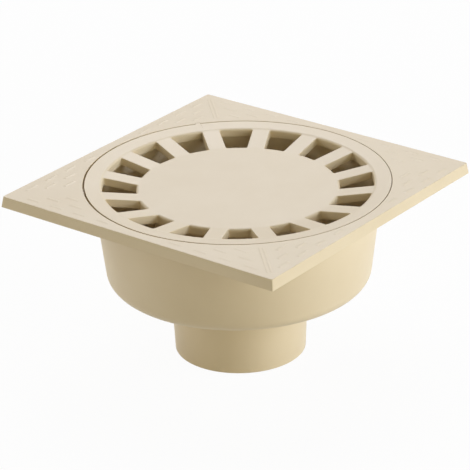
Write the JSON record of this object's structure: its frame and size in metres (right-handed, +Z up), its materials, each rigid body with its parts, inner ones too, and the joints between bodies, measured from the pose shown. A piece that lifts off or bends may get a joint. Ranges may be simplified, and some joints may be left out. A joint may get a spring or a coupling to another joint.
{
  "type": "gully trap",
  "caption": "Square yard gully with a round slotted grate, a bowl with a bell trap inside and an upright outlet spigot.",
  "frame": {"origin": "middle of the outlet spigot's lower end, which is also the lowest point", "axes": "+Z up along the axis of bowl and spigot, X and Y square to the frame's sides"},
  "size_m": [0.2, 0.2, 0.1104],
  "materials": {
    "body_plastic": "moulded, sand coloured",
    "grate_plastic": "moulded, sand coloured",
    "bell_plastic": "moulded, sand coloured"
  },
  "bodies": {
    "root": {"gully_body": "body_plastic", "grate": "grate_plastic", "trap_bell": "bell_plastic"}
  },
  "joints": []
}
